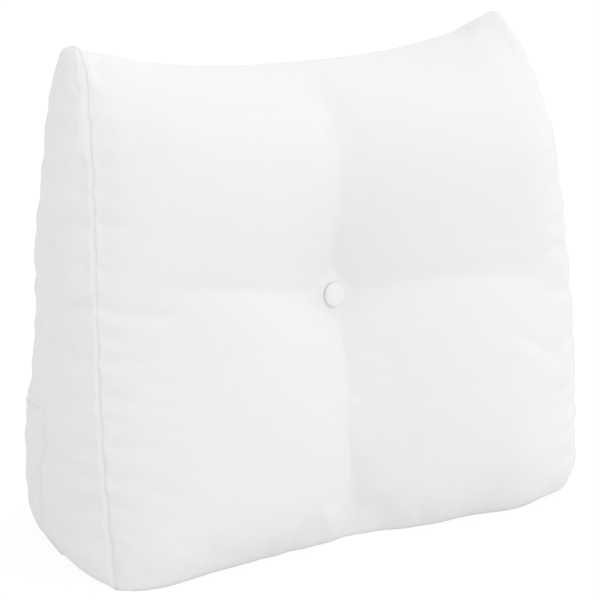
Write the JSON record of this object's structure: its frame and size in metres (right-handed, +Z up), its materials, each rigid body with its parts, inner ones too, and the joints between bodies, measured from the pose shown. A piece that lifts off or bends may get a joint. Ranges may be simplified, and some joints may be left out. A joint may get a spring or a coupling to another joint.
{
  "type": "backrest pillow",
  "caption": "Wedge-shaped filled backrest pillow with a sloping front, a covered tufting button and a zip placket, standing on its flat base.",
  "frame": {"origin": "on the floor, under the middle of the pillow's outline", "axes": "+Z up; the sloping tufted front faces -Y and the upright back faces +Y; +X is to the right as one faces the front"},
  "size_m": [0.5419, 0.2417, 0.4785],
  "materials": {
    "body_cloth": "smooth matte white woven polyester",
    "button_cloth": "smooth white cloth drawn tight over a button shell",
    "placket_cloth": "smooth matte white woven polyester, topstitched"
  },
  "bodies": {
    "root": {"pillow": "body_cloth", "button": "button_cloth", "zip_flap": "placket_cloth"}
  },
  "joints": []
}
